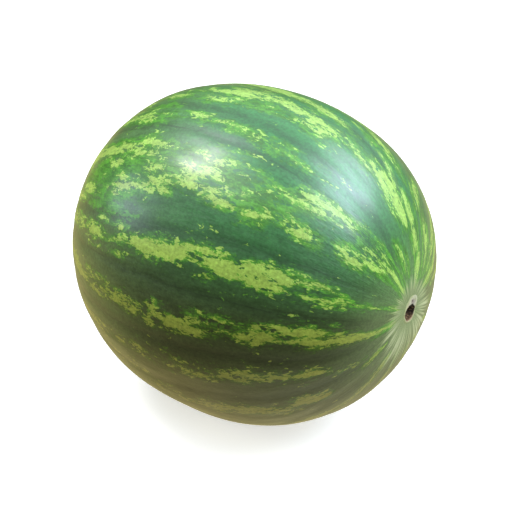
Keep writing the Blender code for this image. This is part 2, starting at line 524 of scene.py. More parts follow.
# %% Lay the strokes of bare leaf green
# Where only the leaf green shows, without a light patch in it.
LEAF_STROKES = [
    (14, 124, 34, 120, 8.0, 0.9),
    (56, 128, 80, 127, 6.0, 1.0),
    (94, 130, 130, 138, 12.0, 1.0),
    (100, 147, 130, 148, 4.0, 0.8),
    (74, 94.5, 92, 94.5, 4.0, 1.0),
    (50, 82, 66, 81, 5.0, 0.8),
    (40, 66, 60, 70, 6.0, 0.9),
    (106, 104.5, 130, 104.5, 3.5, 1.0),
    (106, 112.5, 118, 112.5, 2.4, 1.0),
    (108, 97, 124, 101, 2.4, 0.9),
]
print("leaf green strokes:", len(LEAF_STROKES))

# %% Lay the strokes of the far side
# Where a group of stripes starts, in degrees down from the stem end, and where around the
# core its stripes run. The first group is the far side. The others carry on near ones.
FAR_STRIPES = {
    16: (238, 259, 280, 301, 322, 343, 4, 21),
    64: (42, 62, 78),
    130: (196, 175, 157, 147, 128, 110, 98, 216),
}
STRIPES_END = 160
random.seed(11)


def stroke_run(around, start, end):
    """Lays one stripe as a run of strokes, down from start to end, that lean a little."""
    run = []
    down = start
    lean = random.uniform(-2, 2)
    while down < end:
        length = random.uniform(14, 34)
        drift = random.uniform(-3, 3)
        half = random.uniform(2.2, 6.2)
        stop = min(down + length, end)
        boldness = random.uniform(0.75, 1.1)
        run.append((down, around + lean, stop, around + lean + drift, half, boldness))
        lean += drift * 0.6
        down = stop + random.uniform(-4, 5)
    return run


far_strokes = []
for start, group in FAR_STRIPES.items():
    for around in group:
        far_strokes += stroke_run(around, start, STRIPES_END)
strokes = NEAR_STROKES + far_strokes
print("strokes:", len(NEAR_STROKES), "near,", len(far_strokes), "far")

# %% [markdown]
# ## Where the veins run
#
# Down the middle of each dark band runs a thin darker vein, where one of the fruit's
# vessels lies close under the rind. It wanders, and it sits in a groove so shallow that
# it shows only in the shine. Its colour could be noise alone, but a real vein keeps to
# its band, so each is a line through four places.

# %% Lay the veins
# Each vein: degrees around the core at 15, 60, 105 and 150 degrees down from the stem end.
VEIN_STOPS = (15, 60, 105, 150)
VEINS = [
    (168, 164, 165, 166),
    (143, 144, 150, 152),
    (120, 114, 114, 118),
    (106, 103, 103, 104),
    (78, 76, 80, 84),
    (190, 185, 187, 187),
    (208, 205, 206, 206),
    (228, 228, 227, 227),
]
FAR_VEINS = (249, 270, 291, 312, 333, 353, 13, 32, 52)
VEIN_WANDER = 2.5
random.seed(5)
for around in FAR_VEINS:
    VEINS.append(tuple(around + random.uniform(-VEIN_WANDER, VEIN_WANDER) for stop in VEIN_STOPS))
print("veins:", len(VEINS))


# %% [markdown]
# ## Paint the strokes onto the mesh
#
# The material needs smooth fields to work from. Each is an attribute, one number for
# each vertex: how much light rind and how much leaf green are wanted there, how far off
# the nearest vein is, how pale, rayed and faded the ends are, how much painted light or
# shade it gets from how far up or down the fruit it lies, and how much of the ground
# spot is there. Nodes could work them out from the two angles, but well over a hundred
# strokes would take thousands of nodes.

# %% Tools that store and read a field
def attribute(mesh, name, values, kind="FLOAT", key="value"):
    """Stores one value, or one vector, for each vertex under a name the material can read."""
    layer = mesh.attributes.get(name) or mesh.attributes.new(name, kind, "POINT")
    layer.data.foreach_set(key, np.asarray(values, dtype=np.float32).ravel())


def read(mesh, name):
    """Reads a named number back from each vertex."""
    values = np.zeros(len(mesh.vertices), dtype=np.float32)
    mesh.attributes[name].data.foreach_get("value", values)
    return values.astype(float)


def turn_between(a, b):
    """The shorter way round from b to a, in degrees."""
    return (a - b + 180) % 360 - 180


def step(value, start, end):
    """0 before start, 1 after end, and a smooth rise between."""
    share = np.clip((value - start) / (end - start), 0, 1)
    return share * share * (3 - 2 * share)


# %% Find each vertex's place on the rind
mesh = melon.data
down = np.degrees(read(mesh, "colatitude"))
around = np.degrees(read(mesh, "longitude")) % 360

# The girth at each point turns degrees around the core into millimetres.
girth = np.hypot(points[:, 1] - core[1], points[:, 2] - core[2])
around_mm = np.radians(girth) / MM
upwards = np.sin(np.radians(around))
# One degree down from the stem end is about this many millimetres of rind.
DOWN_MM = 2.35
print("widest: one degree around is", round(float(around_mm.max()), 2), "mm")

# %% [markdown]
# A stroke is a lens, narrower at its ends. How far inside its edge a point lies, in
# millimetres, gives a soft slope across that edge, and where strokes meet the stronger
# wins. The slope steepens towards the ends, where the stripes run together. The leaf
# green reaches a little further than the light rind, and furthest on top.

# %% Lay light rind and leaf green
# The slope is this wide, in millimetres, wherever a degree around is over FULL_DEGREE.
EDGE_SOFTNESS = 5.0
FULL_DEGREE = 1.7
LEAF_REACH = 2.0
LEAF_REACH_ON_TOP = 2.5
softness = EDGE_SOFTNESS * np.clip(around_mm / FULL_DEGREE, 0.35, 1.0)


def stroke_inside(stroke):
    """How far inside a stroke's edge each vertex lies, in millimetres."""
    from_down, from_around, to_down, to_around, half, boldness = stroke
    share = np.clip((down - from_down) / (to_down - from_down), 0, 1)
    off = turn_between(around, from_around + (to_around - from_around) * share) * around_mm
    past = np.maximum(np.maximum(from_down - down, down - to_down), 0) * DOWN_MM
    lens = half * around_mm * (0.55 + 0.45 * np.sin(math.pi * share))
    return lens - np.hypot(off, past)


def across_edge(inside):
    """0 well outside an edge, 0.5 on it, and 1 well inside."""
    return np.clip(0.5 + inside / (2 * softness), 0, 1)


light = np.zeros(len(down))
leaf = np.zeros(len(down))
leaf_reach = LEAF_REACH + LEAF_REACH_ON_TOP * step(upwards, 0.3, 0.9)
for stroke in strokes:
    inside = stroke_inside(stroke)
    boldness = stroke[-1]
    light = np.maximum(light, boldness * across_edge(inside))
    leaf = np.maximum(leaf, min(boldness, 1) * across_edge(inside + leaf_reach))
for stroke in LEAF_STROKES:
    leaf = np.maximum(leaf, stroke[-1] * across_edge(stroke_inside(stroke)))
end_fade = 0.4 + 0.6 * step(down, 2, 9) * step(180 - down, 8, 22)
light *= end_fade
leaf *= end_fade
print("light rind is likely on", round(float((light > 0.7).mean()), 2), "of the vertices")

# %% Measure how far off the nearest vein is
# Where no vein is near, the distance stays at this many millimetres.
FAR_OFF = 90.0
vein_side = np.full(len(down), FAR_OFF)
for stops in VEINS:
    path = np.interp(down, VEIN_STOPS, stops)
    off = np.radians(turn_between(around, path)) * girth / MM
    vein_side = np.where(np.abs(off) < np.abs(vein_side), off, vein_side)
vein_fade = step(down, 14, 30) * step(down, 166, 148)
print("vertices within 5 mm of a vein:", int((np.abs(vein_side) < 5).sum()))

# %% [markdown]
# The stripes thin out and the rind pales towards both ends. Around the stem's scar the
# pale rays reach furthest underneath, where the fruit faced the ground, and a little
# above it. The sides are painted browner and duller than the top, as painted shade,
# and the top is painted lighter, as painted light.

# %% Fade the ends, and paint light on the top and shade on the sides
UNDER = 272
OVER = 82
under = (0.5 + 0.5 * np.cos(np.radians(around - UNDER))) ** 1.5
over = (0.5 + 0.5 * np.cos(np.radians(around - OVER))) ** 3
pale = np.maximum(1 - step(down, 3, 7 + 26 * under + 9 * over), 1 - step(180 - down, 2, 12))
faded = np.maximum(0.8 * step(down, 42, 12), step(down, 76, 126))
rays = np.maximum(1 - step(down, 5, 15 + 20 * under), 0.65 * (1 - step(180 - down, 6, 20)))
ray_clear = step(down, 3, 13) * step(180 - down, 4, 15)
# Where painted light falls on the top, and painted shade on the sides and low down.
painted_low_shade = step(upwards, 0.15, -0.75) * step(down, 8, 40) * step(down, 172, 140)
painted_top_light = np.clip((upwards - 0.15) / 0.8, 0, 1)
painted_side_shade = step(upwards, 0.45, -0.1) * step(down, 10, 26)

# The ground spot is an oval, a little off the middle of the underside.
SPOT_PLACE = (4 * MM, -6 * MM)
SPOT_SIZE = (44 * MM, 36 * MM)
SPOT_TOP = 60 * MM
spot_x = (points[:, 0] - SPOT_PLACE[0]) / SPOT_SIZE[0]
spot_y = (points[:, 1] - SPOT_PLACE[1]) / SPOT_SIZE[1]
ground = (1 - step(np.hypot(spot_x, spot_y), 0.55, 1.25)) * (points[:, 2] < SPOT_TOP)
print("vertices on the ground spot:", int((ground > 0.5).sum()))

# %% Store the fields
FIELDS = {
    "light": light,
    "leaf": leaf,
    "pale": pale,
    "painted_low_shade": painted_low_shade,
    "painted_top_light": painted_top_light,
    "rays": rays,
    "ray_clear": ray_clear,
    "ground": ground,
    "faded": faded,
    "painted_side_shade": painted_side_shade,
}
for name, values in FIELDS.items():
    attribute(mesh, name, values)
vein = np.stack([vein_side, np.abs(vein_side), vein_fade], 1)
attribute(mesh, "vein", vein, "FLOAT_VECTOR", "vector")

# The grain of the rind runs from end to end, so a pattern is read on a cylinder: it keeps
# its place around the fruit, narrows towards the ends, and has no seam. Along the grain
# it is drawn out by the stretch.
GRAIN_RADIUS = 125 * MM
GRAIN_BEND = 133 * MM
GRAIN_STRETCH = 2.6
around_rad = np.radians(around)
grain_y = GRAIN_RADIUS * np.cos(around_rad)
grain_z = GRAIN_RADIUS * np.sin(around_rad)
grain_x = np.radians(down) * GRAIN_BEND / GRAIN_STRETCH
attribute(mesh, "grain", np.stack([grain_x, grain_y, grain_z], 1), "FLOAT_VECTOR", "vector")
print("painted:", [a.name for a in mesh.attributes if not a.name.startswith(".")])

# %% Press the veins' grooves into the rind
GROOVE_DEPTH = 0.22 * MM
GROOVE_HALF_WIDTH = 4.5

normals = np.zeros(len(points) * 3)
mesh.vertices.foreach_set("co", points.ravel())
mesh.update()
mesh.vertices.foreach_get("normal", normals)
normals = normals.reshape(-1, 3)
groove = GROOVE_DEPTH * np.exp(-((vein_side / GROOVE_HALF_WIDTH) ** 2)) * vein_fade
# Near the resting flat there is no groove, so that the flat stays flat.
groove *= step(points[:, 2], 4 * MM, 25 * MM)
points = points - normals * groove[:, None]
mesh.vertices.foreach_set("co", points.ravel())
mesh.update()
print("deepest groove:", round(float(groove.max() / MM), 2), "mm")

# %% [markdown]
# ## The rind
#
# A ripe rind is a hard, smooth skin under a thin bloom of wax. The wax gives a broad,
# slightly hazy shine with one tighter core. Under it there are three greens: a blue dark
# green, mottled and finely streaked, in the bands; a bright leaf green that rings every
# light patch; and the yellow-green of the patches themselves, whose edges are torn and
# crisp, with islands, holes and stray flecks. Light and shade are painted into each
# green: it has a painted lit colour for the top, with a bluer painted sheen on the bands,
# and a browner, duller painted shade for the sides and for low down.
#
# It could be painted by hand. Here it comes from the painted fields and from noise on
# the grain, so it stays sharp at any distance.

# %% The rind's greens
# The top colours are painted light, the band's with a bluer painted sheen. The side and low colours are
# painted shade, browner low down.
LIGHT_PATCH = linear("#99B54C")
PATCH_PAINTED_LIGHT = linear("#9CC65A")
PATCH_PAINTED_SHADE = linear("#87953A")
PATCH_PAINTED_LOW_SHADE = linear("#8E873E")
LEAF_DEEP = linear("#356F1C")
LEAF_GREEN = linear("#529A26")
LEAF_BRIGHT = linear("#74AE34")
LEAF_PAINTED_SHADE = linear("#38480F")
BAND_PAINTED_SHEEN = linear("#307A3C")
BAND_GREEN = linear("#346836")
BAND_PAINTED_SHADE = linear("#364423")
BAND_PAINTED_LOW_SHADE = linear("#474623")
BAND_END = linear("#5F7A44")
RAY_GREEN = linear("#93AC5E")
END_GREY = linear("#748757")
END_RAY = linear("#BCC49C")
GROUND_CREAM = linear("#E2D08E")
print("dark band, as linear red, green and blue:", [round(c, 3) for c in BAND_GREEN[:3]])

# %% Read the painted fields
tree = rind.node_tree
surface = tree.nodes["Principled BSDF"]
grain = add(tree, "ShaderNodeAttribute", attribute_name="grain").node.outputs["Vector"]
field = {}
for name in FIELDS:
    field[name] = add(tree, "ShaderNodeAttribute", attribute_name=name).node.outputs["Fac"]
vein_vector = add(tree, "ShaderNodeAttribute", attribute_name="vein").node.outputs["Vector"]
vein_parts = add(tree, "ShaderNodeSeparateXYZ", {0: vein_vector}).node.outputs
print("fields read:", len(tree.nodes), "nodes")

# %% [markdown]
# A plain noise cuts soft round blobs, but the edge of a light patch is torn into flakes.
# So the place where the patterns are read is pushed about by a fine noise, and it then
# jumps from one small cell to the next.

# %% Break up the place where patterns are read
RUFFLE = 2.6 * MM
RUFFLE_PUSH = (4.2 * MM, 4.2 * MM, 4.2 * MM)
FLAKE = 2.2 * MM
FLAKE_PUSH = (2.5 * MM, 2.5 * MM, 2.5 * MM)
HALF = (0.5, 0.5, 0.5)
ruffle_feeds = {"Vector": grain, "Scale": 1 / RUFFLE, "Detail": 2.0, "Roughness": 0.6}
ruffle = add(tree, NOISE, ruffle_feeds).node.outputs["Color"]
ruffle = add(tree, VECTOR, {0: ruffle, 1: HALF}, operation="SUBTRACT")
ruffled = add(tree, VECTOR, {0: ruffle, 1: RUFFLE_PUSH, 2: grain}, operation="MULTIPLY_ADD")
flake_feeds = {"Vector": ruffled, "Scale": 1 / FLAKE}
flake = add(tree, "ShaderNodeTexVoronoi", flake_feeds).node.outputs["Color"]
flake = add(tree, VECTOR, {0: flake, 1: HALF}, operation="SUBTRACT")
flaky = add(tree, VECTOR, {0: flake, 1: FLAKE_PUSH, 2: ruffled}, operation="MULTIPLY_ADD")
print("flakes:", FLAKE / MM, "mm")

# %% [markdown]
# Three patterns push at the wanted light before it is cut off sharply: slow patches,
# tears across the grain, and lace. In the lace, each cell is given a number at random,
# which opens a hole at its middle or puts an islet there. The sum is cut at about 0.75,
# so a stroke of boldness 1 is mostly light rind, and one of 0.7 is about half holes. The
# leaf green is cut from the same patterns, with a softer edge, so it rings each patch.

# %% Tear the light patches and their leaf green
PATCH = 10 * MM
TEAR = 4.5 * MM
LACE = 4.6 * MM
patch_feeds = {"Vector": flaky, "Scale": 1 / PATCH, "Detail": 1.0, "Distortion": 0.6}
patch_noise = add(tree, NOISE, patch_feeds)
tear_map = add(tree, "ShaderNodeMapping", {"Vector": flaky, "Scale": (3.0, 1.0, 1.0)})
tear_feeds = {"Vector": tear_map, "Scale": 1 / TEAR, "Detail": 3.0, "Roughness": 0.65}
tear_noise = add(tree, NOISE, tear_feeds)

lace_map = add(tree, "ShaderNodeMapping", {"Vector": flaky, "Scale": (2.3, 1.0, 1.0)})
lace_feeds = {"Vector": lace_map, "Scale": 1 / LACE}
lace = add(tree, "ShaderNodeTexVoronoi", lace_feeds).node.outputs
lace_sign = add(tree, "ShaderNodeSeparateXYZ", {0: lace["Color"]}).node.outputs["X"]
lace_sign = add(tree, MATH, {0: lace_sign, 1: 2.0, 2: -1.08}, operation="MULTIPLY_ADD")
lace_middle = add(tree, RANGE, {0: lace["Distance"], 1: 0.62, 2: 0.12}, interpolation_type="SMOOTHSTEP")
lace_push = add(tree, MATH, {0: lace_sign, 1: lace_middle}, operation="MULTIPLY")
patch_push = add(tree, MATH, {0: patch_noise, 1: 1.5, 2: -0.75}, operation="MULTIPLY_ADD")
tear_push = add(tree, MATH, {0: tear_noise, 1: 1.6, 2: -0.8}, operation="MULTIPLY_ADD")
push = add(tree, MATH, {0: lace_push, 1: 0.78, 2: patch_push}, operation="MULTIPLY_ADD")
push = add(tree, MATH, {0: push, 1: tear_push}, operation="ADD")
wanted = add(tree, MATH, {0: field["light"], 1: push}, operation="ADD")
light_rind = add(tree, RANGE, {0: wanted, 1: 0.73, 2: 0.78}, interpolation_type="SMOOTHSTEP")
half_light = add(tree, RANGE, {0: wanted, 1: 0.55, 2: 0.78}, interpolation_type="SMOOTHSTEP")

halo = add(tree, MATH, {0: push, 1: 0.9, 2: field["leaf"]}, operation="MULTIPLY_ADD")
halo = add(tree, RANGE, {0: halo, 1: 0.42, 2: 0.95}, interpolation_type="SMOOTHSTEP")
print("torn patches:", len(tree.nodes), "nodes")

# %% [markdown]
# The dark bands are mottled slowly, and streaked finely along the grain. They get a
# bluer painted sheen on top, darker painted shade on the sides and a browner painted
# shade underneath, and are lighter towards both ends.

# %% Mottle the dark bands
MOTTLE = 16 * MM
STREAK = 4.5 * MM
slow_feeds = {"Vector": grain, "Scale": 1 / MOTTLE, "Detail": 4.0, "Roughness": 0.6}
slow = add(tree, NOISE, slow_feeds)
streak_feeds = {"Vector": grain, "Scale": 1 / STREAK, "Detail": 3.0, "Roughness": 0.6}
streak = add(tree, NOISE, streak_feeds)
mottle = add(tree, MATH, {0: slow, 1: streak}, operation="ADD")
mottle = add(tree, RANGE, {0: mottle, 1: 0.75, 2: 1.3}, interpolation_type="SMOOTHSTEP")
# Painted light and shade: darker on the sides, a browner shade low down, and a bluer sheen on top.
to_middle = add(tree, RANGE, {0: field["painted_top_light"], 1: 0.0, 2: 0.55})
to_top = add(tree, RANGE, {0: field["painted_top_light"], 1: 0.55, 2: 1.0})
band = add(tree, MIX, {0: to_middle, 6: BAND_PAINTED_SHADE, 7: BAND_GREEN}, data_type="RGBA")
band = add(tree, MIX, {0: to_top, 6: band, 7: BAND_PAINTED_SHEEN}, data_type="RGBA")
band = add(tree, MIX, {0: field["painted_low_shade"], 6: band, 7: BAND_PAINTED_LOW_SHADE}, data_type="RGBA")
faded_share = add(tree, MATH, {0: field["faded"], 1: 0.6}, operation="MULTIPLY")
band = add(tree, MIX, {0: faded_share, 6: band, 7: BAND_END}, data_type="RGBA")
shade = add(tree, RANGE, {0: mottle, 3: 0.82, 4: 1.12})
band = add(tree, VECTOR, {0: band, "Scale": shade}, operation="SCALE")
print("dark bands:", len(tree.nodes), "nodes")

# %% [markdown]
# A vein is a thin dark line in a wider shadow. A line of even width would look drawn, so
# a noise makes it wander a little, and the bands' slow mottling makes it come and go.

# %% Draw the veins into the bands
VEIN_BEND = 14 * MM
VEIN_DARK = 0.50
wander_feeds = {"Vector": grain, "Scale": 1 / VEIN_BEND, "Detail": 3.0}
wander = add(tree, NOISE, wander_feeds)
wander = add(tree, MATH, {0: wander, 1: 5.0, 2: -2.5}, operation="MULTIPLY_ADD")
vein_off = add(tree, MATH, {0: vein_parts["X"], 1: wander}, operation="ADD")
vein_off = add(tree, MATH, {0: vein_off}, operation="ABSOLUTE")
line_feeds = {0: vein_off, 1: 0.2, 2: 1.5, 3: 1.0, 4: 0.0}
vein_line = add(tree, RANGE, line_feeds, interpolation_type="SMOOTHSTEP")
vein_shows = add(tree, RANGE, {0: slow, 1: 0.48, 2: 0.60}, interpolation_type="SMOOTHSTEP")
vein_line = add(tree, MATH, {0: vein_line, 1: vein_shows}, operation="MULTIPLY")
shadow_feeds = {0: vein_off, 1: 0.0, 2: 8.0, 3: 0.6, 4: 0.0}
vein_shade = add(tree, RANGE, shadow_feeds, interpolation_type="SMOOTHSTEP")
vein_near = add(tree, MATH, {0: vein_parts["Y"], 1: 10.0}, operation="LESS_THAN")
vein_mark = add(tree, MATH, {0: vein_line, 1: vein_shade}, operation="MAXIMUM")
vein_mark = add(tree, MATH, {0: vein_mark, 1: vein_near}, operation="MULTIPLY")
vein_mark = add(tree, MATH, {0: vein_mark, 1: vein_parts["Z"]}, operation="MULTIPLY")
vein_keeps = add(tree, MATH, {0: vein_mark, 1: -VEIN_DARK, 2: 1.0}, operation="MULTIPLY_ADD")
band = add(tree, VECTOR, {0: band, "Scale": vein_keeps}, operation="SCALE")
print("veins:", len(tree.nodes), "nodes")

# %% [markdown]
# The greens lie over each other as they do on the fruit: the dark band first, then the
# leaf green, blotched from deep to bright, and the light patches last. Where the rind is
# nearly light, the leaf green turns bright, less so in the painted shade of the sides.
# The leaf green darkens into painted shade on the sides, and the patches get painted
# light on top and painted shade on the sides and low down. A fine freckling runs over
# all of it.

# %% Lay the greens over each other
BLOTCH = 5 * MM
FRECKLE = 2.2 * MM
blotch_feeds = {"Vector": flaky, "Scale": 1 / BLOTCH, "Detail": 3.0, "Roughness": 0.6}
blotch = add(tree, NOISE, blotch_feeds)
leaf_bright = add(tree, RANGE, {0: blotch, 1: 0.38, 2: 0.64}, interpolation_type="SMOOTHSTEP")
leaf_colour = add(tree, MIX, {0: leaf_bright, 6: LEAF_DEEP, 7: LEAF_GREEN}, data_type="RGBA")
# Painted shade: the leaf green darkens to olive on the sides and low down.
leaf_painted_shade = add(tree, MATH, {0: field["painted_side_shade"], 1: 0.85}, operation="MULTIPLY")
leaf_colour = add(tree, MIX, {0: leaf_painted_shade, 6: leaf_colour, 7: LEAF_PAINTED_SHADE}, data_type="RGBA")
colour = add(tree, MIX, {0: halo, 6: band, 7: leaf_colour}, data_type="RGBA")
# The bright leaf green fades out in the painted shade of the sides.
half_share = add(tree, RANGE, {0: field["painted_side_shade"], 3: 0.45, 4: 0.12})
half_share = add(tree, MATH, {0: half_light, 1: half_share}, operation="MULTIPLY")
colour = add(tree, MIX, {0: half_share, 6: colour, 7: LEAF_BRIGHT}, data_type="RGBA")
# Painted light on the patches on top, and painted shade on the sides and low down.
patch_colour = add(tree, MIX, {0: field["painted_top_light"], 6: LIGHT_PATCH, 7: PATCH_PAINTED_LIGHT}, data_type="RGBA")
patch_colour = add(tree, MIX, {0: field["painted_side_shade"], 6: patch_colour, 7: PATCH_PAINTED_SHADE}, data_type="RGBA")
patch_colour = add(tree, MIX, {0: field["painted_low_shade"], 6: patch_colour, 7: PATCH_PAINTED_LOW_SHADE}, data_type="RGBA")
patch_shade = add(tree, RANGE, {0: blotch, 1: 0.35, 2: 0.65, 3: 0.84, 4: 1.08})
patch_colour = add(tree, VECTOR, {0: patch_colour, "Scale": patch_shade}, operation="SCALE")
colour = add(tree, MIX, {0: light_rind, 6: colour, 7: patch_colour}, data_type="RGBA")

in_fruit = add(tree, "ShaderNodeTexCoord").node.outputs["Object"]
freckle_feeds = {"Vector": in_fruit, "Scale": 1 / FRECKLE, "Detail": 2.0, "Roughness": 0.6}
freckle = add(tree, NOISE, freckle_feeds)
freckle_shade = add(tree, RANGE, {0: freckle, 1: 0.3, 2: 0.7, 3: 0.76, 4: 1.24})
colour = add(tree, VECTOR, {0: colour, "Scale": freckle_shade}, operation="SCALE")
print("greens:", len(tree.nodes), "nodes")

# %% [markdown]
# Towards the ends all of it fades into fine pale rays. The grain narrows there, so a
# noise that is long on the grain turns into rays by itself. Close in they would be
# thinner than a hair, so they give way to a plain grey-green.

# %% Fade the ends into rays
RAY = 11 * MM
ray_map = add(tree, "ShaderNodeMapping", {"Vector": grain, "Scale": (0.3, 1.0, 1.0)})
ray_feeds = {"Vector": ray_map, "Scale": 1 / RAY, "Detail": 5.0, "Roughness": 0.7}
ray = add(tree, NOISE, ray_feeds | {"Distortion": 0.35})
ray_bold = add(tree, RANGE, {0: ray, 1: 0.40, 2: 0.60}, interpolation_type="SMOOTHSTEP")
ray_bold = add(tree, MATH, {0: ray_bold, 1: field["ray_clear"]}, operation="MULTIPLY")
end_colour = add(tree, MIX, {0: ray_bold, 6: END_GREY, 7: END_RAY}, data_type="RGBA")
end_shade = add(tree, RANGE, {0: streak, 1: 0.3, 2: 0.7, 3: 0.74, 4: 1.22})
end_colour = add(tree, VECTOR, {0: end_colour, "Scale": end_shade}, operation="SCALE")
ray_share = add(tree, MATH, {0: field["rays"], 1: 0.22, 2: ray}, operation="MULTIPLY_ADD")
ray_share = add(tree, RANGE, {0: ray_share, 1: 0.62, 2: 0.80}, interpolation_type="SMOOTHSTEP")
ray_share = add(tree, MATH, {0: ray_share, 1: field["rays"]}, operation="MULTIPLY")
colour = add(tree, MIX, {0: ray_share, 6: colour, 7: RAY_GREEN}, data_type="RGBA")
pale_edge = add(tree, MATH, {0: ray, 1: 2.2, 2: -1.1}, operation="MULTIPLY_ADD")
pale_edge = add(tree, MATH, {0: field["pale"], 1: pale_edge}, operation="ADD")
pale_share = add(tree, RANGE, {0: pale_edge, 1: 0.25, 2: 0.9}, interpolation_type="SMOOTHSTEP")
pale_near = add(tree, RANGE, {0: field["pale"], 1: 0.0, 2: 0.3})
pale_share = add(tree, MATH, {0: pale_share, 1: pale_near}, operation="MULTIPLY")
colour = add(tree, MIX, {0: pale_share, 6: colour, 7: end_colour}, data_type="RGBA")
print("rays:", len(tree.nodes), "nodes")

# %% [markdown]
# The ground spot never saw the sun, so it is cream. The sum that tears the patches also
# gives this spot its ragged edge, so the two look like one skin.

# %% Lay the ground spot
spot_edge = add(tree, MATH, {0: push, 1: 0.35, 2: field["ground"]}, operation="MULTIPLY_ADD")
spot_share = add(tree, RANGE, {0: spot_edge, 1: 0.25, 2: 0.9}, interpolation_type="SMOOTHSTEP")
colour = add(tree, MIX, {0: spot_share, 6: colour, 7: GROUND_CREAM}, data_type="RGBA")
tree.links.new(colour, surface.inputs["Base Color"])
print("ground spot:", len(tree.nodes), "nodes")

# %% [markdown]
# Plant wax has an IOR of about 1.45. The skin's is set higher, because the bloom adds a
# haze of its own. The wax is a coat over it, thick in some places and rubbed thin in
# others, so the shine is uneven. The relief is a bump: pores and dimples far too fine
# for the mesh, and a slow unevenness that breaks up the edge of each highlight.

# %% Wax the rind
WAX = 9 * MM
PORE = 1.1 * MM
DIMPLE = 4 * MM
surface.inputs["IOR"].default_value = 1.65
wax_map = add(tree, "ShaderNodeMapping", {"Vector": grain, "Scale": (0.6, 1.0, 1.0)})
wax_feeds = {"Vector": wax_map, "Scale": 1 / WAX, "Detail": 4.0, "Roughness": 0.6}
wax = add(tree, NOISE, wax_feeds)
wax = add(tree, RANGE, {0: wax, 1: 0.32, 2: 0.68, 3: 0.35, 4: 1.0})
tree.links.new(wax, surface.inputs["Coat Weight"])
surface.inputs["Coat Roughness"].default_value = 0.25
gloss = add(tree, RANGE, {0: streak, 1: 0.3, 2: 0.7, 3: 0.40, 4: 0.52})
tree.links.new(gloss, surface.inputs["Roughness"])

pore_feeds = {"Vector": grain, "Scale": 1 / PORE, "Detail": 2.0}
pores = add(tree, NOISE, pore_feeds)
dimples = add(tree, NOISE, {"Vector": grain, "Scale": 1 / DIMPLE, "Detail": 2.0})
pores = add(tree, MATH, {0: dimples, 1: 2.0, 2: pores}, operation="MULTIPLY_ADD")
relief = add(tree, MATH, {0: slow, 1: 9.0, 2: pores}, operation="MULTIPLY_ADD")
bump = add(tree, "ShaderNodeBump", {"Height": relief, "Distance": 0.12 * MM, "Strength": 0.5})
tree.links.new(bump, surface.inputs["Normal"])
print("waxy rind:", len(tree.nodes), "nodes")

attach(melon, "root")
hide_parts("watermelon")

# %% [markdown]
# ## The scar where the stem came away
#
# The fruit hung from a woody stalk. When it came away it left a small torn pit with a
# raised lip, skinned over with grey cork, and a knob of cork above it.
#
# A bump map would show nothing from the side, so the scar is a mesh: a thin closed skin
# that is laid on the end of the fruit point by point, by casting a ray at the rind below
# each, and then raised by a relief. The skin's rim dips under the rind, so no gap shows.
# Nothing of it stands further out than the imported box.

# %% A skin of cork laid on an end of the fruit
from mathutils import noise
from mathutils.bvhtree import BVHTree

rind_tree = BVHTree.FromPolygons([tuple(p) for p in points], [tuple(f.vertices) for f in mesh.polygons])
SKIN_DEPTH = 0.9 * MM
RIM_DIP = 0.45 * MM
BOX_GAP = 0.02 * MM
OUTSIDE = 300 * MM


def rind_x(side, y, z):
    """Where the rind is, along the core, at this place on the stem's end or the other."""
    hit = rind_tree.ray_cast(Vector((side * OUTSIDE, y, z)), Vector((-side, 0, 0)))
    return hit[0].x


def lay_skin(name, side, middle, reach, relief, tones, spokes=96, rings=30):
    """Lays a closed skin around middle, out to reach(angle), and raises it by relief(y, z).

    tones maps an attribute's name to a function of the same y and z, in millimetres.
    """
    bm = bmesh.new()
    layers = []
    for thickness in (0.0, SKIN_DEPTH):
        rows = []
        for ring in range(1, rings + 1):
            row = []
            for spoke in range(spokes):
                angle = 2 * math.pi * spoke / spokes
                radius = reach(angle) * MM * ring / rings
                y, z = radius * math.cos(angle), radius * math.sin(angle)
                x = rind_x(side, middle[0] + y, middle[1] + z)
                sink = RIM_DIP * (ring / rings) ** 8
                lift = 0.0 if thickness else relief(y / MM, z / MM) * MM
                x += side * (lift * (1 - (ring / rings) ** 6) - sink - thickness)
                x = side * min(side * x, abs(high[0]) - BOX_GAP)
                row.append(bm.verts.new((x, middle[0] + y, middle[1] + z)))
            rows.append(row)
        x = rind_x(side, *middle) + side * (relief(0, 0) * MM * (thickness == 0) - thickness)
        pole = bm.verts.new((x, *middle))
        for spoke in range(spokes):
            after = (spoke + 1) % spokes
            bm.faces.new((pole, rows[0][spoke], rows[0][after]))
            for inner, outer in zip(rows, rows[1:]):
                bm.faces.new((inner[spoke], outer[spoke], outer[after], inner[after]))
        layers.append(rows[-1])
    for spoke in range(spokes):
        after = (spoke + 1) % spokes
        bm.faces.new((layers[0][spoke], layers[1][spoke], layers[1][after], layers[0][after]))
    bmesh.ops.recalc_face_normals(bm, faces=bm.faces[:])
    skin = bpy.data.meshes.new(name)
    bm.to_mesh(skin)
    bm.free()
    skin.shade_smooth()
    for tone, value in tones.items():
        spots = [((v.co.y - middle[0]) / MM, (v.co.z - middle[1]) / MM) for v in skin.vertices]
        shades = [value(*spot) for spot in spots]
        attribute(skin, tone, shades)
    piece = bpy.data.objects.new(name, skin)
    bpy.context.scene.collection.objects.link(piece)
    print(name, len(skin.polygons), "faces")
    return piece


def bell(y, z, at, width):
    """1 at a place and fading around it, over this width in millimetres."""
    return math.exp(-(((y - at[0]) ** 2 + (z - at[1]) ** 2) / width**2))


def crumble(y, z, grain_size, seed):
    """A rough grain from -1 to 1, that size in millimetres."""
    return noise.fractal(Vector((y / grain_size, z / grain_size, seed)), 0.7, 2.0, 3)


